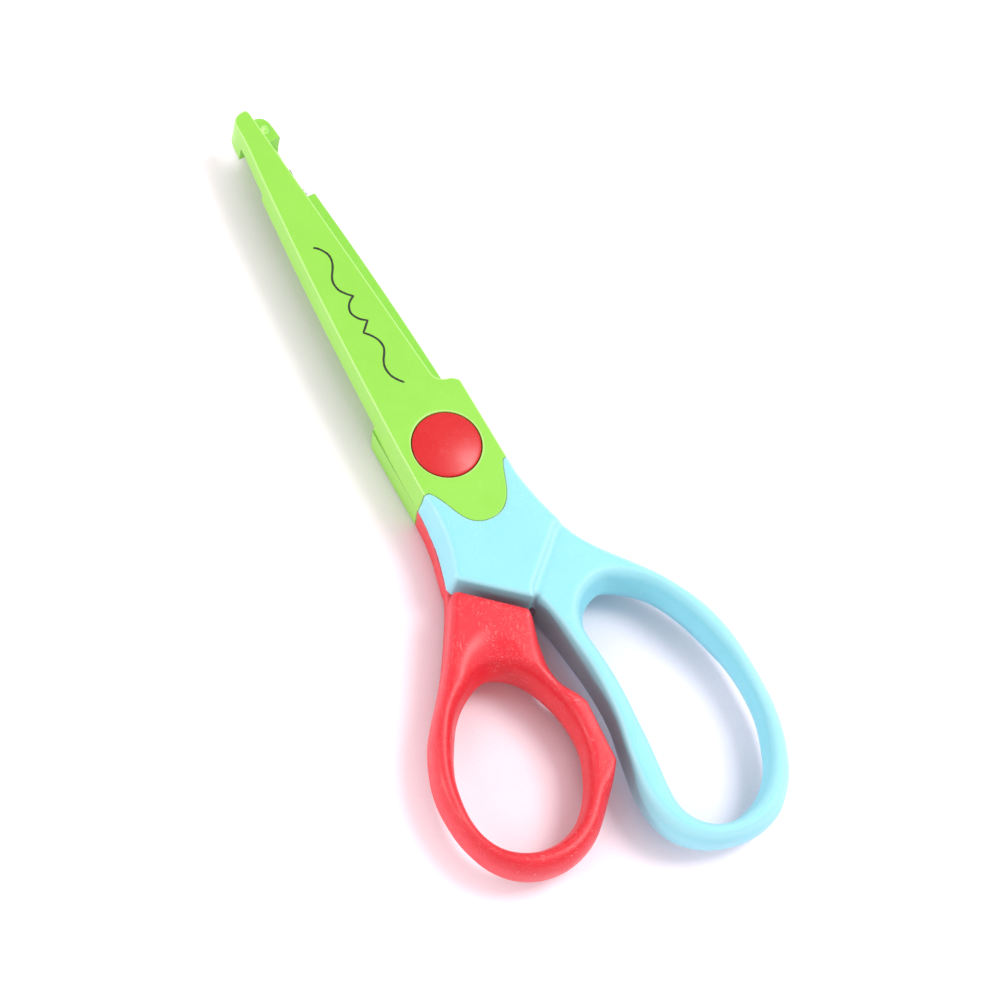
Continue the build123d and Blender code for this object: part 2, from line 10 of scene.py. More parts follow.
import bmesh
import bpy
import numpy as np
from mathutils import Matrix, Vector


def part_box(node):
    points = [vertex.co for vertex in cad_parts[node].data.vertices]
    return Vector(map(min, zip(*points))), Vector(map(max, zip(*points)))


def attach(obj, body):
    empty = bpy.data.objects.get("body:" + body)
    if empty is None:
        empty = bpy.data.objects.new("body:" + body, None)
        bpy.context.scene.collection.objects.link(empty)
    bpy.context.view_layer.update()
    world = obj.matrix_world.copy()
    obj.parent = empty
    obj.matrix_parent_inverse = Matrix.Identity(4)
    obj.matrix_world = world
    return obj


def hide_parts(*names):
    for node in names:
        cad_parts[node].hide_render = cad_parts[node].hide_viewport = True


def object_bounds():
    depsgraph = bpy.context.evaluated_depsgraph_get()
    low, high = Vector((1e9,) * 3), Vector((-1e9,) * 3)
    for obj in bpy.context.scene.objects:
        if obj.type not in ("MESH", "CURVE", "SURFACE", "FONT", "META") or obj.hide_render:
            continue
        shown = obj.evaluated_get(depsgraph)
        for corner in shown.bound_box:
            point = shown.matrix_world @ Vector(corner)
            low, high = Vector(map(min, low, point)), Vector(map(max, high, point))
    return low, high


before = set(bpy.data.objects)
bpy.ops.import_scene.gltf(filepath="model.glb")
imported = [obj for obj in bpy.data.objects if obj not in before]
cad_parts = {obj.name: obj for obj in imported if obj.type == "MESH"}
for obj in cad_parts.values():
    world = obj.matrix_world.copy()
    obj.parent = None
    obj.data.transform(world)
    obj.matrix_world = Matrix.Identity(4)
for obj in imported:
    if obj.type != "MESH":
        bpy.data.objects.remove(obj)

cad_lo, cad_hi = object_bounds()
MM = 0.001
scene = bpy.context.scene


# ---------------------------------------------------------------- node helpers
class Material:
    """Builds a procedural material around one Principled shader."""

    def __init__(self, name):
        self.data = bpy.data.materials.new(name)
        self.data.use_nodes = True
        self.tree = self.data.node_tree
        self.tree.nodes.clear()
        output = self.tree.nodes.new("ShaderNodeOutputMaterial")
        self.shader = self.tree.nodes.new("ShaderNodeBsdfPrincipled")
        self.tree.links.new(self.shader.outputs[0], output.inputs[0])
        self.coords = self.tree.nodes.new("ShaderNodeTexCoord").outputs["Object"]

    def feed(self, node, inputs):
        """Link or set each input; an input given as None is left alone."""
        for socket, value in inputs.items():
            if isinstance(value, bpy.types.NodeSocket):
                self.tree.links.new(value, node.inputs[socket])
            elif value is not None:
                node.inputs[socket].default_value = value

    def node(self, kind, inputs, **settings):
        node = self.tree.nodes.new(kind)
        for key, value in settings.items():
            setattr(node, key, value)
        self.feed(node, inputs)
        return node

    def mapping(self, scale=(1, 1, 1), turn=(0, 0, 0), vector=None):
        return self.node("ShaderNodeMapping", {
            "Scale": scale, "Rotation": turn, "Vector": vector or self.coords}).outputs[0]

    def noise(self, scale, detail=3.0, rough=0.5, vector=None):
        return self.node("ShaderNodeTexNoise", {
            "Scale": scale, "Detail": detail, "Roughness": rough,
            "Vector": vector or self.coords}).outputs[0]

    def ramp(self, value, low, high, to_low=0.0, to_high=1.0):
        """Map low..high to to_low..to_high, clamped; low may be the larger."""
        return self.node("ShaderNodeMapRange", {
            "From Min": low, "From Max": high, "To Min": to_low, "To Max": to_high,
            "Value": value}, clamp=True).outputs[0]

    def math(self, operation, first, second):
        return self.node("ShaderNodeMath", {0: first, 1: second}, operation=operation).outputs[0]

    def mix(self, factor, first, second):
        """Mix two colours, each a socket or an RGB tuple."""
        first, second = ((*c, 1.0) if isinstance(c, tuple) else c for c in (first, second))
        return self.node("ShaderNodeMix", {0: factor, 6: first, 7: second},
                         data_type="RGBA", blend_type="MIX").outputs[2]

    def tint(self, colour, tone, mask, amount):
        """Lay tone over colour where the mask is, at most by amount."""
        return self.mix(self.math("MULTIPLY", mask, amount), colour, tone)

    def bump(self, height, strength, distance, normal=None):
        return self.node("ShaderNodeBump", {
            "Strength": strength, "Distance": distance, "Height": height,
            "Normal": normal}).outputs[0]


def shade(colour, factor):
    return tuple(c * factor for c in colour)


# ---------------------------------------------------------------- materials
SCUFF_TURNS = (0.25, 1.05, -0.62, 2.2, 1.62)    # direction of each set of scuffs, radians


def scuff_mask(mat, level):
    """Fine scuffs in several directions, each gathered in its own patches."""
    mask = None
    for k, turn in enumerate(SCUFF_TURNS):
        turned = mat.mapping(turn=(0.13 * k, 0.21 * k, turn))
        patches = mat.ramp(mat.noise(scale=150.0 + 23.0 * k, detail=2.0, vector=turned),
                           low=0.47, high=0.66)
        stretched = mat.mapping(scale=(330 + 40 * k, 7000, 3200), vector=turned)
        marks = mat.ramp(mat.noise(scale=1.0, detail=2.0, vector=stretched),
                         low=level, high=level + 0.07)
        marks = mat.math("MULTIPLY", marks, patches)
        mask = marks if mask is None else mat.math("MAXIMUM", mask, marks)
    return mask


def plastic(name, base, rough, scuff, deep=None, pale=None, coat=0.0, edge=0.35, concave_dark=0.25,
            soft=0.0, rim_at=0.86, scuff_level=0.66, fleck=0.0, turned_edge=0.0):
    """Moulded plastic: slow colour drift, mould grain, fine scuffs, pale convex
    edges that are partly wear and partly a painted highlight, darker concave
    places, and painted highlights on rounded edges and sloped shoulders.

    scuff, edge, fleck and turned_edge are strengths, as is the darkening of
    concave places. scuff_level is the noise level where scuffs start. soft is the
    radius of rounded edges in metres, and rim_at the normal agreement where their
    painted highlight rim is full.
    """
    mat = Material(name)
    deep = deep or shade(base, 0.82)
    pale = pale or tuple(min(1.0, c * 0.55 + 0.45) for c in base)

    # drift and clouds
    drift = mat.ramp(mat.noise(scale=95.0, detail=2.0), low=0.35, high=0.68)
    colour = mat.tint(base, deep, drift, amount=0.40)
    cloud = mat.ramp(mat.noise(scale=900.0, detail=4.0, rough=0.6), low=0.42, high=0.75)
    colour = mat.tint(colour, pale, cloud, amount=0.03)

    # scuffs, dark specks and pale flecks
    scuffs = scuff_mask(mat, scuff_level)
    colour = mat.tint(colour, pale, scuffs, scuff)
    speck = mat.ramp(mat.noise(scale=2300.0, detail=1.0), low=0.80, high=0.83)
    colour = mat.tint(colour, shade(base, 0.5), speck, amount=0.5)
    turned = mat.mapping(turn=(0.3, 0.2, 0.4))
    dots = mat.ramp(mat.noise(scale=3100.0, detail=1.0, vector=turned), low=0.70, high=0.76)
    colour = mat.tint(colour, pale, dots, fleck)

    # convex edges paler: partly wear, partly a painted highlight along them
    geometry = mat.node("ShaderNodeNewGeometry", {})
    point, normal = geometry.outputs["Pointiness"], geometry.outputs["Normal"]
    wear_and_highlight_edge = mat.math("MULTIPLY", mat.ramp(point, low=0.56, high=0.68),
                    mat.ramp(mat.noise(scale=1500.0), low=0.35, high=0.62))
    colour = mat.tint(colour, pale, wear_and_highlight_edge, edge)
    # colour darker in concave places, by pointiness
    concave_mask = mat.ramp(point, low=0.44, high=0.37)
    colour = mat.tint(colour, shade(base, 0.45), concave_mask, concave_dark)

    rounded = None
    if soft:
        # painted highlight: a paler rim along rounded edges, where the bevelled normal leaves the
        # true one
        rounded = mat.node("ShaderNodeBevel", {"Radius": soft}, samples=4).outputs[0]
        agree = mat.node("ShaderNodeVectorMath", {0: rounded, 1: normal},
                         operation="DOT_PRODUCT").outputs["Value"]
        colour = mat.tint(colour, pale, mat.ramp(agree, low=0.995, high=rim_at), amount=0.6)
    if turned_edge:
        # painted sheen: the sloped roundings between the top and the side walls made paler, as if
        # lit
        up = mat.node("ShaderNodeSeparateXYZ", {0: normal}).outputs["Z"]
        painted_sheen_band = mat.math("MULTIPLY", mat.ramp(up, low=0.995, high=0.93),
                        mat.ramp(up, low=0.30, high=0.55))
        colour = mat.tint(colour, pale, painted_sheen_band, turned_edge)

    gloss = mat.ramp(mat.noise(scale=260.0, detail=4.0, rough=0.55), low=0.3, high=0.75,
                     to_low=rough - 0.05, to_high=rough + 0.08)
    gloss = mat.math("ADD", gloss, mat.math("MULTIPLY", scuffs, 0.18))

    # mould grain, slight unevenness, sunken scuffs
    relief = mat.bump(mat.noise(scale=5200.0, detail=2.0), strength=0.05, distance=0.00006,
                      normal=rounded)
    relief = mat.bump(mat.noise(scale=150.0, detail=1.0), strength=0.10, distance=0.0006,
                      normal=relief)
    relief = mat.bump(mat.math("MULTIPLY", scuffs, -1.0), strength=0.18, distance=0.00004,
                      normal=relief)
    mat.feed(mat.shader, {
        "Base Color": colour, "Roughness": gloss, "Specular IOR Level": 0.5,
        "Coat Weight": coat, "Coat Roughness": 0.18, "Normal": relief})
    return mat.data


def steel(name, base, rough, stretch, cloud_tone):
    """Ground steel: fine grinding lines, cloudy tone, a few dark specks."""
    mat = Material(name)
    lines = mat.noise(scale=1.0, detail=4.0, rough=0.6, vector=mat.mapping(scale=stretch))
    cloud = mat.ramp(mat.noise(scale=330.0), low=0.35, high=0.7)
    colour = mat.mix(mat.ramp(lines, low=0.3, high=0.7, to_high=0.6), base, shade(base, 0.72))
    colour = mat.tint(colour, cloud_tone, cloud, amount=0.35)
    speck = mat.ramp(mat.noise(scale=4200.0, detail=2.0), low=0.70, high=0.76)
    colour = mat.tint(colour, (0.12, 0.11, 0.10), speck, amount=0.5)
    gloss = mat.ramp(lines, low=0.25, high=0.75, to_low=rough - 0.07, to_high=rough + 0.12)
    relief = mat.bump(lines, strength=0.10, distance=0.00003)
    relief = mat.bump(mat.noise(scale=700.0, detail=2.0), strength=0.08, distance=0.0001,
                      normal=relief)
    mat.feed(mat.shader, {
        "Base Color": colour, "Metallic": 1.0, "Roughness": gloss, "Anisotropic": 0.4,
        "Normal": relief})
    return mat.data


def ink():
    """Black print, slightly thin in places."""
    mat = Material("ink_black")
    cover = mat.ramp(mat.noise(scale=2600.0, rough=0.6), low=0.25, high=0.62)
    mat.feed(mat.shader, {
        "Base Color": mat.mix(cover, (0.030, 0.045, 0.018), (0.012, 0.016, 0.010)),
        "Roughness": mat.ramp(mat.noise(scale=3300.0, detail=2.0), low=0.3, high=0.7,
                              to_low=0.42, to_high=0.62),
        "Normal": mat.bump(mat.noise(scale=7000.0, detail=2.0), strength=0.12,
                           distance=0.00002)})
    return mat.data


def floor_white():
    """Table with painted light: it glows a little, and the glow fades down in narrow gaps as
    painted shade.
    """
    mat = Material("floor_white")
    tone = mat.ramp(mat.noise(scale=14.0), low=0.3, high=0.7)
    # slightly magenta colour and glow: a painted tint for the shade on the table, offsetting green
    # bounce
    colour = mat.mix(tone, (0.842, 0.766, 0.836), (0.832, 0.756, 0.826))
    # ambient occlusion turns the glow down in gaps: painted shade
    openness = mat.node("ShaderNodeAmbientOcclusion", {"Distance": 0.02},
                        samples=8).outputs["AO"]
    mat.feed(mat.shader, {
        "Base Color": colour,
        "Emission Color": (1.0, 0.89, 0.965, 1.0),
        "Emission Strength": mat.ramp(openness, low=0.42, high=0.92, to_high=0.52),
        "Roughness": 0.6,
        "Specular IOR Level": 0.2,
        "Normal": mat.bump(mat.noise(scale=900.0, detail=2.0), strength=0.02,
                           distance=0.0001)})
    return mat.data


GREEN = plastic("plastic_green", base=(0.308, 0.715, 0.071), rough=0.36,
                deep=(0.272, 0.665, 0.053), pale=(0.58, 0.96, 0.30),
                scuff=0.25, edge=0.20, concave_dark=0.1, soft=0.00045, turned_edge=0.9)
AQUA = plastic("plastic_aqua", base=(0.298, 0.745, 0.855), rough=0.40,
               deep=(0.25, 0.68, 0.79), pale=(0.72, 0.96, 0.99),
               scuff=0.30, edge=0.30, concave_dark=0.2, scuff_level=0.64, fleck=0.10,
               soft=0.0007, rim_at=0.93, turned_edge=0.20)
RED = plastic("plastic_red", base=(0.81, 0.011, 0.026), rough=0.38,
              deep=(0.71, 0.009, 0.020), pale=(0.95, 0.30, 0.33),
              scuff=0.65, edge=0.30, concave_dark=0.2, scuff_level=0.635, fleck=0.14,
              soft=0.0007, rim_at=0.93, turned_edge=0.03)
CAP_RED = plastic("plastic_cap_red", base=(0.69, 0.009, 0.013), rough=0.38,
                  deep=(0.64, 0.007, 0.010), pale=(0.92, 0.28, 0.30),
                  scuff=0.25, edge=0.15, concave_dark=0.1, coat=0.08)
BUSHING = plastic("plastic_bushing", base=(0.80, 0.79, 0.74), rough=0.45, scuff=0.2)
STEEL = steel("steel_ground", base=(0.60, 0.61, 0.63), rough=0.34,
              stretch=(260, 9000, 9000), cloud_tone=(0.55, 0.52, 0.47))
ZINC = steel("steel_zinc", base=(0.66, 0.67, 0.69), rough=0.30,
             stretch=(2600, 2600, 2600), cloud_tone=(0.60, 0.60, 0.52))
INK = ink()

# material, slot, CAD pieces
FINISHES = [
    (GREEN, "shell_green", ["front_blade_shell", "rear_blade_shell"]),
    (STEEL, "insert_steel", ["front_cutting_insert", "rear_cutting_insert",
                             "front_insert_pins", "rear_insert_pins"]),
    (AQUA, "handle_aqua", ["front_handle"]),
    (RED, "handle_red", ["rear_handle"]),
    (CAP_RED, "cap_red", ["front_pivot_cap", "rear_pivot_cap"]),
    (BUSHING, "bushing_white", ["pivot_bushing"]),
    (ZINC, "hardware_steel", ["head_washer", "spring_washer", "pivot_screw",
                              "nut_washer", "pivot_nut"]),
]
for material, slot, pieces in FINISHES:
    for piece in pieces:
        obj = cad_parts[piece]
        obj.data.materials.clear()
        obj.data.materials.append(material)


# ---------------------------------------------------------------- mesh helpers
def add_object(name, mesh, material):
    mesh.materials.append(material)
    obj = bpy.data.objects.new(name, mesh)
    scene.collection.objects.link(obj)
    return obj


def mesh_object(name, verts, faces, material, smooth=True):
    mesh = bpy.data.meshes.new(name)
    mesh.from_pydata(verts, [], faces)
    mesh.update()
    if smooth:
        mesh.polygons.foreach_set("use_smooth", [True] * len(mesh.polygons))
    return add_object(name, mesh, material)


def face_outward(obj, crease=None):
    """Turn all faces outward; edges bent more than crease (radians) become sharp."""
    edit = bmesh.new()
    edit.from_mesh(obj.data)
    bmesh.ops.recalc_face_normals(edit, faces=edit.faces)
    if crease is not None:
        for edge in edit.edges:
            if edge.calc_face_angle(0) > crease:
                edge.smooth = False
    edit.to_mesh(obj.data)
    edit.free()


def stand_in(obj, piece, half):
    """Let obj take the place of a CAD piece and move with its half."""
    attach(obj, half)
    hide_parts(piece)


def spline(points, step=0.5, closed=False):
    """Catmull-Rom curve through the points, sampled about every step."""
    knots = np.asarray(points, float)
    if closed:
        padded = np.vstack([knots[-1:], knots, knots[:2]])
    else:
        padded = np.vstack([2 * knots[0] - knots[1], knots, 2 * knots[-1] - knots[-2]])
    curve = []
    for before, start, end, after in zip(padded, padded[1:], padded[2:], padded[3:]):
        count = max(1, int(round(np.linalg.norm(end - start) / step)))
        for j in range(count):
            t = j / count
            curve.append(0.5 * (2 * start + (end - before) * t
                                + (2 * before - 5 * start + 4 * end - after) * t * t
                                + (3 * start - before - 3 * end + after) * t ** 3))
    if not closed:
        curve.append(knots[-1])
    return np.array(curve)


# ---------------------------------------------------------------- printed line
# (x, y) along the wave, from the tip end towards the pivot; each piece is
# smooth, with a corner between one piece and the next
WAVE_PIECES = [
    [(-3.17, 46.16), (-2.60, 45.80), (-2.02, 45.17), (-1.27, 43.79), (-1.25, 42.29),
     (-1.86, 40.8), (-2.85, 39.21), (-3.21, 37.91), (-2.98, 36.33), (-2.08, 35.02),
     (-1.1, 34.07)],
    [(-1.1, 34.07), (-2.11, 33.43), (-2.88, 32.48), (-3.2, 31.17), (-2.69, 29.9),
     (-2.02, 29.14), (-1.1, 28.49)],
    [(-1.1, 28.49), (-2.05, 27.55), (-3.02, 26.56)],
    [(-3.02, 26.56), (-2.07, 25.53), (-1.24, 24.11), (-1.02, 22.54), (-1.49, 21.32),
     (-2.34, 20.0), (-2.83, 18.49), (-2.61, 16.66), (-1.78, 15.24), (-0.98, 14.34)],
]
WAVE_STEP = 0.25
INK_HALF_WIDTH = 0.22
INK_THICK = 0.035
INK_SINK = 0.01         # depth of the underside below the shell top
# cross-section: (share of the half width, share of the height)
INK_SECTION = [(-1.0, 0.0), (-0.86, 0.8), (-0.45, 1.0), (0.45, 1.0), (0.86, 0.8), (1.0, 0.0)]


def printed_line(base_z):
    """Raised ink line with slightly uneven width and tapered ends."""
    curves = [spline(piece, WAVE_STEP) for piece in WAVE_PIECES]
    path = np.vstack([curves[0]] + [curve[1:] for curve in curves[1:]])
    along = np.gradient(path, axis=0)
    along /= np.linalg.norm(along, axis=1)[:, None]
    across = np.c_[-along[:, 1], along[:, 0]]
    run = np.r_[0, np.cumsum(np.linalg.norm(np.diff(path, axis=0), axis=1))]
    from_end = np.minimum(run, run[-1] - run)
    width = INK_HALF_WIDTH * np.sqrt(np.clip(from_end / INK_HALF_WIDTH, 0.05, 1.0))
    width *= 1.0 + 0.05 * np.sin(run * 2.3) + 0.03 * np.sin(run * 7.1 + 1.0)

    verts = []
    for i in range(len(path)):
        for side, rise in INK_SECTION:
            x, y = path[i] + across[i] * side * width[i]
            z = base_z - INK_SINK + rise * (INK_THICK + INK_SINK)
            verts.append((x * MM, y * MM, z * MM))
    sides = len(INK_SECTION)
    last = (len(path) - 1) * sides
    faces = []
    for start in range(0, last, sides):
        for j in range(sides):
            a, b = start + j, start + (j + 1) % sides
            faces.append((a, b, b + sides, a + sides))
    faces.append(tuple(range(sides - 1, -1, -1)))
    faces.append(tuple(range(last, last + sides)))
    obj = mesh_object("printed_wave_line", verts, faces, INK)
    face_outward(obj)
    return obj


wave_line = printed_line(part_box("front_blade_shell")[1].z / MM)
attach(wave_line, "front_half")


# ---------------------------------------------------------------- shape fields
# The two handles are smooth scalar fields in millimetres, negative inside, that
# are turned into meshes, so every edge has the soft radius of a moulding.
def line_distance(x, y, points):
    """Distance to an open line of straight segments."""
    best = np.full(x.shape, 1e9)
    for start, end in zip(points[:-1], points[1:]):
        run_x, run_y = end[0] - start[0], end[1] - start[1]
        length_sq = max(run_x * run_x + run_y * run_y, 1e-12)
        t = np.clip(((x - start[0]) * run_x + (y - start[1]) * run_y) / length_sq, 0, 1)
        best = np.minimum(best, (x - start[0] - t * run_x) ** 2
                          + (y - start[1] - t * run_y) ** 2)
    return np.sqrt(best)


def outline_distance(x, y, outline):
    """Signed distance to a closed polygon, negative inside."""
    closed = np.vstack([outline, outline[:1]])
    inside = np.zeros(x.shape, bool)
    for start, end in zip(closed[:-1], closed[1:]):
        if start[1] != end[1]:
            spans = (start[1] > y) != (end[1] > y)
            cross_x = start[0] + (y - start[1]) * (end[0] - start[0]) / (end[1] - start[1])
            inside ^= spans & (x < cross_x)
    distance = line_distance(x, y, closed)
    return np.where(inside, -distance, distance)


def ease(value, start, end):
    """Smooth step from 0 at start to 1 at end."""
    t = np.clip((value - start) / (end - start), 0, 1)
    return t * t * (3 - 2 * t)


def intersect(first, second, radius):
    """Intersection whose shared edge is rounded."""
    over_a, over_b = np.maximum(first + radius, 0), np.maximum(second + radius, 0)
    return (np.minimum(np.maximum(first, second), -radius)
            + np.sqrt(over_a * over_a + over_b * over_b))


def unite(first, second, radius):
    """Union whose inner corner is filled."""
    under_a, under_b = np.maximum(radius - first, 0), np.maximum(radius - second, 0)
    return (np.maximum(np.minimum(first, second), radius)
            - np.sqrt(under_a * under_a + under_b * under_b))


# ---------------------------------------------------------------- surface nets
CORNERS = [(i, j, k) for i in (0, 1) for j in (0, 1) for k in (0, 1)]
PULL_ROUNDS = 3
PULL_LIMIT = 0.35       # longest pull of a vertex per round, in cells


def cell_points(field, cells):
    """Mean of the level crossings on the twelve edges of each cell."""
    total = np.zeros((len(cells), 3))
    hits = np.zeros(len(cells))
    for axis in range(3):
        for start in (corner for corner in CORNERS if not corner[axis]):
            end = list(start)
            end[axis] = 1
            value_a = field[tuple((cells + start).T)]
            value_b = field[tuple((cells + end).T)]
            cross = (value_a < 0) != (value_b < 0)
            place = np.tile(np.array(start, float), (len(cells), 1))
            place[:, axis] += np.where(cross, value_a / np.where(cross, value_a - value_b, 1), 0)
            total[cross] += place[cross]
            hits[cross] += 1
    return cells + total / hits[:, None]


def crossing_quads(negative, ids):
    """One quad for every grid edge that crosses the level."""
    faces = []
    for axis in range(3):
        sides = [(axis + 1) % 3, (axis + 2) % 3]
        edges = np.argwhere(np.diff(negative, axis=axis))
        across = edges[:, sides]
        limit = np.array(negative.shape)[sides] - 1
        edges = edges[((across > 0) & (across < limit)).all(axis=1)]
        quads = []
        for shift in ((-1, -1), (0, -1), (0, 0), (-1, 0)):
            cell = edges.copy()
            cell[:, sides] += shift
            quads.append(ids[tuple(cell.T)])
        quads = np.stack(quads, 1)
        flip = ~negative[tuple(edges.T)]
        quads[flip] = quads[flip][:, ::-1]
        faces.append(quads)
    return np.concatenate(faces)


def sample(field, points):
    """Trilinear value and gradient of the field at points in grid units."""
    places = np.clip(points, 0, np.array(field.shape) - 1.001)
    base = np.floor(places).astype(int)
    part = places - base
    value = np.zeros(len(points))
    slope = np.zeros((len(points), 3))
    for corner in CORNERS:
        here = field[tuple((base + corner).T)]
        weight = [part[:, a] if corner[a] else 1 - part[:, a] for a in range(3)]
        value += here * weight[0] * weight[1] * weight[2]
        for axis in range(3):
            side_a, side_b = [a for a in range(3) if a != axis]
            sign = 1 if corner[axis] else -1
            slope[:, axis] += here * sign * weight[side_a] * weight[side_b]
    return value, slope


def surface(field, origin, step):
    """Mesh of the zero level of a sampled field, by surface nets, then pulled
    closely onto the level."""
    negative = field < 0
    count = sum(
        negative[tuple(slice(c, size - 1 + c) for c, size in zip(corner, field.shape))]
        .astype(np.int8) for corner in CORNERS)
    crossed = (count > 0) & (count < 8)
    cells = np.argwhere(crossed)
    ids = np.full(crossed.shape, -1, np.int64)
    ids[tuple(cells.T)] = np.arange(len(cells))
    verts = cell_points(field, cells)
    for _ in range(PULL_ROUNDS):
        value, slope = sample(field, verts)
        pull = -(value / np.maximum((slope * slope).sum(1), 1e-6))[:, None] * slope
        length = np.linalg.norm(pull, axis=1)
        verts = verts + pull * np.minimum(1, PULL_LIMIT / np.maximum(length, 1e-9))[:, None]
    return verts * step + np.array(origin), crossing_quads(negative, ids)


# ---------------------------------------------------------------- handle outlines
# All tables hold (x, y) points.
# Neck, seen from above on the front half: the edge along the blade shell, then
# the right and left sides at the outer face and at the shear plane.
TONGUE = [
    (7.90, -7.1), (7.25, -8.3), (6.55, -10.1), (5.40, -12.9), (4.10, -14.8), (2.60, -15.9),
    (0.40, -16.4), (-1.80, -16.0), (-3.55, -14.8), (-4.75, -12.9), (-5.90, -10.2),
    (-6.95, -8.1), (-7.75, -7.1)]
NECK_RIGHT = [(8.76, -6.9), (8.95, -9.5), (9.25, -12.5), (10.12, -17.2), (11.0, -20.6),
              (11.35, -21.9), (11.05, -22.6)]
NECK_RIGHT_LOW = [(9.22, -6.9), (9.40, -9.5), (9.70, -12.5), (10.55, -17.2), (11.5, -20.8),
                  (11.9, -22.3), (11.5, -23.1)]
NECK_LEFT = [(-11.35, -23.3), (-10.15, -20.2), (-8.98, -15.9), (-8.62, -12.2), (-8.58, -9.6),
             (-8.74, -7.1)]
NECK_LEFT_LOW = [(-12.05, -23.0), (-11.20, -20.2), (-10.10, -15.9), (-9.60, -12.2),
                 (-9.30, -9.6), (-9.22, -7.1)]
NECK_END = [(10.1, -22.8), (0.6, -31.4), (-0.3, -33.1), (-11.15, -24.0)]
NECK_END_LOW = [(10.2, -23.5), (1.0, -31.9), (-0.6, -33.65), (-11.75, -24.2)]

# Big loop: outer curve, the corners that close it inside the neck, and the hole.
BIG_CURVE = [
    (0.55, -33.2), (1.10, -35.2), (1.75, -38.7), (2.30, -44.0), (2.75, -49.0), (2.80, -54.2),
    (2.40, -59.3), (1.50, -63.6), (0.50, -68.3), (-0.35, -72.3), (-0.55, -76.4), (0.16, -80.2),
    (1.57, -82.99), (3.69, -85.33), (6.86, -87.44), (10.03, -88.58), (13.48, -89.18),
    (17.36, -88.91), (20.83, -87.62), (23.52, -85.42), (25.6, -83.0), (27.38, -79.9),
    (29.12, -75.47), (30.38, -70.2), (30.85, -64.51), (30.87, -59.54), (30.45, -54.37),
    (29.17, -48.84), (27.0, -43.84), (24.12, -39.14), (21.07, -35.5), (17.9, -32.0),
    (15.6, -29.3), (13.7, -26.4), (12.3, -23.4), (11.3, -20.2), (10.5, -17.0)]
BIG_CORNERS = [(4.0, -17.0), (-1.0, -29.5), (0.10, -32.3)]
BIG_HOLE = [
    (15.07, -36.96), (12.31, -36.41), (9.18, -37.67), (7.4, -39.9), (6.80, -42.6),
    (6.95, -46.0), (7.10, -51.3), (7.02, -56.5), (6.71, -61.2), (6.38, -65.9), (5.88, -70.0),
    (5.30, -74.5), (5.27, -78.3), (6.34, -81.12), (8.31, -83.26), (10.53, -84.38),
    (13.4, -84.81), (17.27, -83.82), (20.51, -81.68), (22.87, -78.69), (24.82, -74.68),
    (26.4, -70.03), (27.03, -64.89), (26.9, -59.37), (25.97, -54.36), (24.16, -48.35),
    (21.55, -42.94), (18.79, -39.56)]
# region where the front handle has no lower layer
LOWER_CUT = [(40, -3.0), (13.4, -24.6), (1.4, -33.4), (0.0, -33.7), (-30, -33.7),
             (-30, 10), (40, 10)]

# Small loop: outer curve up to the flat stop, inner curve from the stop, the
# corners that close it inside the neck, and the hole.
SMALL_CURVE = [
    (-10.5, -17.0), (-11.15, -20.0), (-12.05, -23.3), (-13.4, -26.0), (-15.2, -29.0),
    (-17.4, -32.4), (-20.5, -36.8), (-23.8, -40.8), (-27.15, -44.6), (-29.85, -48.4),
    (-32.3, -54.0), (-33.3, -59.0), (-33.2, -64.4), (-32.4, -68.2), (-31.0, -71.8),
    (-28.8, -74.85), (-26.2, -77.0), (-23.7, -78.2), (-20.7, -78.9), (-17.4, -78.9),
    (-13.9, -78.0), (-10.8, -76.3), (-7.6, -73.4), (-4.5, -70.1), (-1.4, -66.1)]
SMALL_INNER = [
    (-0.75, -54.3), (-1.5, -52.5), (-2.75, -49.4), (-3.45, -45.8), (-3.2, -42.4),
    (-2.7, -39.6), (-1.75, -36.1), (-0.95, -33.4), (-0.8, -31.5)]
SMALL_CORNERS = [(1.0, -28.5), (-4.0, -17.0)]
SMALL_HOLE = [
    (-11.83, -42.41), (-14.06, -41.74), (-17.13, -42.45), (-20.54, -44.43), (-23.26, -47.0),
    (-25.54, -50.36), (-27.10, -53.1), (-28.49, -56.4), (-29.3, -60.15), (-29.5, -63.83),
    (-28.94, -67.23), (-27.54, -70.09), (-25.42, -72.16), (-22.55, -73.63), (-19.6, -74.09),
    (-16.4, -73.73), (-13.28, -72.52), (-10.74, -70.3), (-8.42, -67.16), (-6.64, -63.7),
    (-5.62, -60.8), (-5.25, -57.8), (-5.46, -54.06), (-6.54, -49.88), (-8.03, -46.41),
    (-9.68, -43.94)]
STOP = [SMALL_CURVE[-1], SMALL_INNER[0]]
# region where the rear handle has no upper layer
UPPER_CUT = [(-40, -20), (-14.5, -24.9), (-11.7, -25.95), (-1.90, -34.50), (-1.2, -36.6),
             (6, -37), (20, 5), (-40, 5)]

# ---------------------------------------------------------------- handles
MID_Z = 7.2             # shear plane between the two halves
TOP_Z = 2 * MID_Z
SHEAR_GAP = 0.05        # clearance of each half from the shear plane
GRIP_HALF = 6.2         # half thickness of a grip near the neck
GRIP_THINNING = 1.3     # how much thinner that is at the far end
GRIP_POWER = 2.25       # exponent of the oval section; 2 is an ellipse
VOXEL = 0.27
MARGIN = 1.0            # sampled space around the CAD box

# ellipsoid that hollows the upper face of the small loop
HOLLOW_CENTRE = (-15.2, -46.9, MID_Z + GRIP_HALF + 4.6)
HOLLOW_RADII = (5.9, 11.2, 8.8)
HOLLOW_TURN = math.radians(-22)
HOLLOW_SCALE = 6.6      # turns the ellipsoid's relative distance into millimetres


def neck_outline(right, end, left):
    return np.vstack([spline(right), end, spline(left), spline(TONGUE[::-1])])


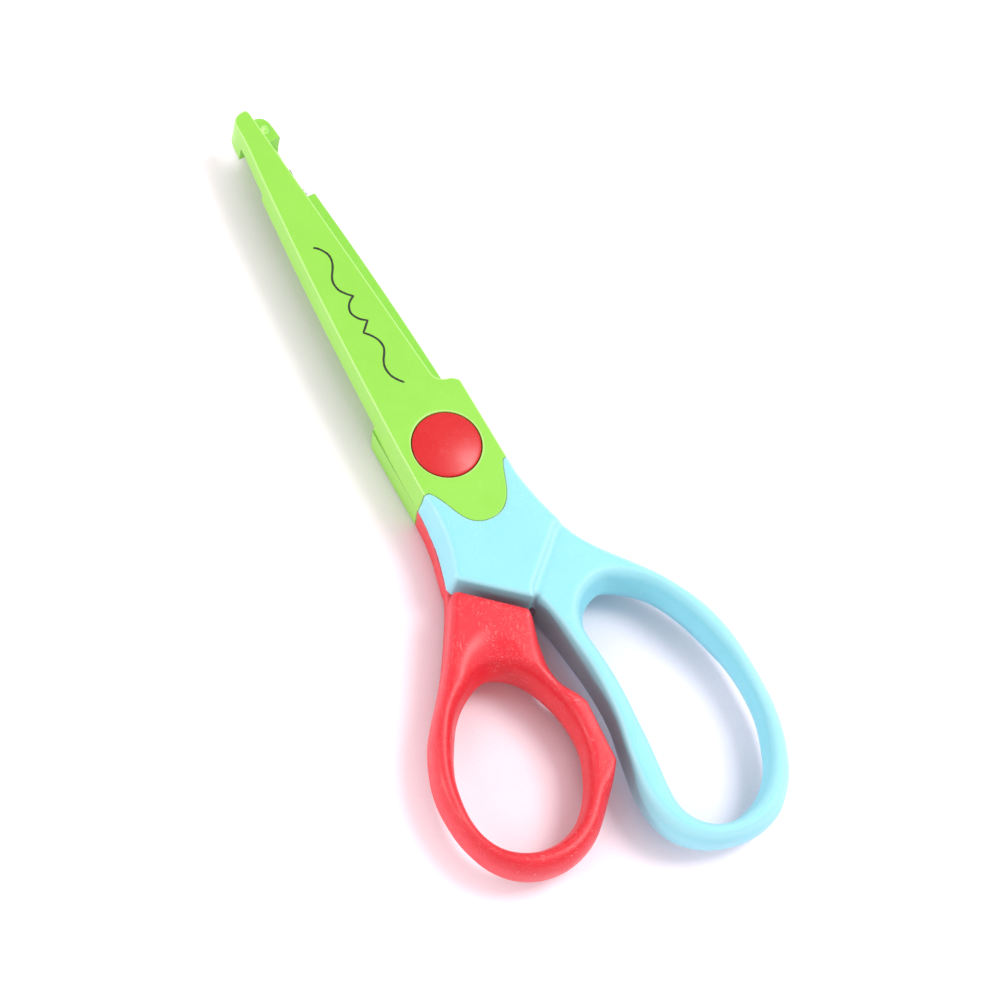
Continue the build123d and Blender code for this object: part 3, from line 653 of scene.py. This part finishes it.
def neck_field(x, y, z):
    """Neck between blade shell and grip, above the shear plane, with soft upper
    edges and a crisp edge at the shell."""
    high = outline_distance(x, y, neck_outline(NECK_RIGHT, NECK_END, NECK_LEFT))
    low = outline_distance(x, y, neck_outline(NECK_RIGHT_LOW, NECK_END_LOW, NECK_LEFT_LOW))
    depth = np.clip((TOP_Z - z) / (TOP_Z - MID_Z), 0, 1)
    side = high + (low - high) * depth
    from_shell = line_distance(x, y, spline(TONGUE))
    neck = intersect(side, z - TOP_Z, radius=0.22 + 0.68 * ease(from_shell, 0.7, 2.4))
    return intersect(neck, MID_Z + SHEAR_GAP - z, radius=0.12)


def grip_field(x, y, z, outline, hole, reach_out, reach_in, draft):
    """Loop of full thickness with an oval section: reach_out and reach_in are how
    far the rounding reaches in from the outer edge and the hole; draft is how
    much the hole widens towards both faces."""
    from_out = -outline_distance(x, y, outline)
    from_hole = outline_distance(x, y, spline(hole, closed=True))
    half = GRIP_HALF - GRIP_THINNING * ease(-y, 35.0, 66.0)
    blend = from_out / np.maximum(np.abs(from_out) + np.abs(from_hole), 1e-6)
    blend = ease(np.clip(blend, 0, 1), 0.15, 0.85)
    reach = reach_out * (1 - blend) + reach_in * blend
    drop = np.minimum(half, 1.9 * reach)    # height taken up by the rounding
    from_mid = np.abs(z - MID_Z)
    rise = np.maximum(from_mid - (half - drop), 0) / drop
    from_hole = from_hole - draft * (from_mid / half)
    outer = np.maximum(1 - from_out / reach_out, 0)
    inner = np.maximum(1 - from_hole / reach_in, 0)
    total = rise ** GRIP_POWER + outer ** GRIP_POWER + inner ** GRIP_POWER
    upright = rise ** GRIP_POWER / np.maximum(total, 1e-6)
    return (total ** (1 / GRIP_POWER) - 1) * (reach * (1 - upright) + drop * upright)


def front_handle_field(X, Y, Z):
    x, y = X[:, :, :1], Y[:, :, :1]
    # rounder on the right shoulder and at the far end
    rounder = np.maximum(ease(-y, 27, 44) * ease(x, 12, 18), ease(-y, 64, 80))
    grip = grip_field(x, y, Z, np.vstack([spline(BIG_CURVE), BIG_CORNERS]), BIG_HOLE,
                      reach_out=1.1 + 1.5 * rounder, reach_in=1.2,
                      draft=1.1 + 0.7 * ease(y, -55, -40))
    handle = unite(grip, neck_field(x, y, Z), radius=0.75)
    cut = outline_distance(x, y, np.array(LOWER_CUT, float))
    cut = intersect(cut, Z - (MID_Z + SHEAR_GAP), radius=0.05)
    return np.maximum(handle, -cut)


def hollow_field(X, Y, Z):
    cos, sin = math.cos(HOLLOW_TURN), math.sin(HOLLOW_TURN)
    off_x, off_y = X - HOLLOW_CENTRE[0], Y - HOLLOW_CENTRE[1]
    offsets = (off_x * cos + off_y * sin, -off_x * sin + off_y * cos, Z - HOLLOW_CENTRE[2])
    squares = [(offset / radius) ** 2 for offset, radius in zip(offsets, HOLLOW_RADII)]
    return (np.sqrt(squares[0] + squares[1] + squares[2]) - 1) * HOLLOW_SCALE


def rear_handle_field(X, Y, Z):
    x, y = X[:, :, :1], Y[:, :, :1]
    # the flat stop on the inner side keeps a crisp edge
    crisp = 1 - ease(line_distance(x, y, STOP), 1.5, 7.0)
    outline = np.vstack([spline(SMALL_CURVE), spline(SMALL_INNER), SMALL_CORNERS])
    grip = grip_field(x, y, Z, outline, SMALL_HOLE,
                      reach_out=(1.0 + 1.6 * ease(-y, 30, 48)) * (1 - 0.62 * crisp),
                      reach_in=1.4, draft=0.8 + 0.6 * ease(y, -60, -44))
    grip = intersect(grip, -hollow_field(X, Y, Z), radius=2.1)
    cut = outline_distance(x, y, np.array(UPPER_CUT, float))
    cut = intersect(cut, (MID_Z - SHEAR_GAP) - Z, radius=0.05)
    grip = intersect(grip, -cut, radius=0.7)
    # the same neck, turned over about the Y direction
    neck = neck_field(-x, y, 2 * MID_Z - Z)
    # the end of the neck stops short of the front grip
    neck = intersect(neck, 0.6 * X - 0.8 * Y - 25.6, radius=0.3)
    return unite(grip, neck, radius=0.6)


def build_handle(name, field, piece, half, material):
    """Mesh a handle field over the box of the CAD piece it replaces."""
    axes = [np.arange(low / MM - MARGIN, high / MM + MARGIN + VOXEL, VOXEL)
            for low, high in zip(*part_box(piece))]
    values = field(*np.meshgrid(*axes, indexing="ij"))
    verts, quads = surface(values, [axis[0] for axis in axes], VOXEL)
    mesh = bpy.data.meshes.new(name)
    mesh.vertices.add(len(verts))
    mesh.vertices.foreach_set("co", (verts * MM).astype(np.float32).ravel())
    mesh.loops.add(len(quads) * 4)
    mesh.loops.foreach_set("vertex_index", quads.astype(np.int32).ravel())
    mesh.polygons.add(len(quads))
    mesh.polygons.foreach_set("loop_start", np.arange(0, len(quads) * 4, 4, dtype=np.int32))
    mesh.polygons.foreach_set("use_smooth", np.ones(len(quads), bool))
    mesh.update(calc_edges=True)
    mesh.validate()
    stand_in(add_object(name, mesh, material), piece, half)


build_handle("handle_front_aqua", front_handle_field, "front_handle", "front_half",
             AQUA)
build_handle("handle_rear_red", rear_handle_field, "rear_handle", "rear_half",
             RED)

# ---------------------------------------------------------------- pivot cap
CAP_RADIUS = 6.45
SKIRT_INNER, SKIRT_OUTER = 3.87, 4.70
SKIRT_HEIGHT = 1.0
RIM_DROP = 1.0          # from the top of the crown to the rim
RIM_ROLL_IN, RIM_ROLL_UP = 0.25, 0.21
CROWN_STEPS = 14
CAP_SEGMENTS = 96
CAP_CREASE = 0.9        # radians


def cap_profile():
    """(radius, z) of the front cap: skirt, flat seat, rolled rim, shallow crown."""
    low, high = (corner.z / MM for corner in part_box("front_pivot_cap"))
    rim = high - RIM_DROP
    seat = low + SKIRT_HEIGHT
    crown_radius = CAP_RADIUS - RIM_ROLL_IN
    crown_base = rim + RIM_ROLL_UP
    profile = [
        (0.0, seat + 0.02), (SKIRT_INNER, seat + 0.02), (SKIRT_INNER, low),
        (SKIRT_OUTER, low), (SKIRT_OUTER, seat), (6.1, seat), (6.38, seat + 0.10),
        (CAP_RADIUS, seat + 0.35), (CAP_RADIUS, rim - 0.12), (CAP_RADIUS - 0.03, rim + 0.02),
        (CAP_RADIUS - 0.11, rim + 0.13), (crown_radius, crown_base)]
    for i in range(1, CROWN_STEPS + 1):
        radius = crown_radius * (1 - i / CROWN_STEPS)
        rise = 1 - (radius / crown_radius) ** 2
        profile.append((radius, crown_base + (high - crown_base) * rise))
    return profile


def lathe(name, profile, segments, material):
    """Closed body of revolution; the profile starts and ends on the axis."""
    verts, faces, rings = [], [], []
    for radius, z in profile:
        count = 1 if radius < 1e-6 else segments
        rings.append(range(len(verts), len(verts) + count))
        if count == 1:
            verts.append((0.0, 0.0, z * MM))
            continue
        for k in range(segments):
            angle = 2 * math.pi * k / segments
            verts.append((radius * math.cos(angle) * MM, radius * math.sin(angle) * MM, z * MM))
    for ring, above in zip(rings[:-1], rings[1:]):
        for k in range(segments):
            j = (k + 1) % segments
            if len(ring) == 1:
                faces.append((ring[0], above[j], above[k]))
            elif len(above) == 1:
                faces.append((ring[k], ring[j], above[0]))
            else:
                faces.append((ring[k], ring[j], above[j], above[k]))
    obj = mesh_object(name, verts, faces, material)
    face_outward(obj, crease=CAP_CREASE)
    return obj


cap = lathe("cap_front_red", cap_profile(), CAP_SEGMENTS, CAP_RED)
stand_in(cap, "front_pivot_cap", "front_half")

# ---------------------------------------------------------------- stage, in metres
FLOOR_HALF = 3
FLOOR_GAP = 0.00005     # between the floor and the lowest CAD point

floor = mesh_object(
    "floor", [(x * FLOOR_HALF, y * FLOOR_HALF, 0) for x, y in ((-1, -1), (1, -1), (1, 1), (-1, 1))],
    [(0, 1, 2, 3)], floor_white(), smooth=False)
floor.location.z = cad_lo.z - FLOOR_GAP

world = bpy.data.worlds.new("studio")
scene.world = world
world.use_nodes = True
background = world.node_tree.nodes["Background"]
background.inputs["Color"].default_value = (1.0, 1.0, 1.0, 1.0)
background.inputs["Strength"].default_value = 0.66


def softbox(name, location, size, power):
    """Rectangular area light aimed at the origin."""
    light = bpy.data.lights.new(name, "AREA")
    light.shape = "RECTANGLE"
    light.size, light.size_y = size
    light.energy = power
    obj = bpy.data.objects.new(name, light)
    scene.collection.objects.link(obj)
    obj.location = location
    obj.rotation_mode = "QUATERNION"
    obj.rotation_quaternion = (-Vector(location)).to_track_quat("-Z", "Y")


softbox("key", location=(0.42, -0.11, 0.78), size=(0.34, 0.34), power=4.8)
softbox("side", location=(-0.82, 0.25, 0.30), size=(0.24, 0.16), power=2.2)

# ---------------------------------------------------------------- camera
SENSOR_WIDTH = 36.0
FOCAL_RATIO = 3.2       # focal length over sensor width
CAMERA_PLACE = (-0.17340, -0.17777, 0.54563)
# the camera's own axes in the scene
CAMERA_RIGHT = (0.8622, -0.4878, 0.1365)
CAMERA_UP = (0.4059, 0.8266, 0.3898)
CAMERA_BACK = (-0.303, -0.2807, 0.9107)

lens = bpy.data.cameras.new("camera")
camera = bpy.data.objects.new("camera", lens)
scene.collection.objects.link(camera)
lens.sensor_fit = "HORIZONTAL"
lens.sensor_width = SENSOR_WIDTH
lens.lens = SENSOR_WIDTH * FOCAL_RATIO
lens.clip_start, lens.clip_end = 0.01, 20.0
turn = Matrix((CAMERA_RIGHT, CAMERA_UP, CAMERA_BACK)).transposed()
camera.matrix_world = Matrix.Translation(CAMERA_PLACE) @ turn.to_4x4()
scene.camera = camera
scene.view_settings.view_transform = "Standard"
scene.view_settings.look = "None"
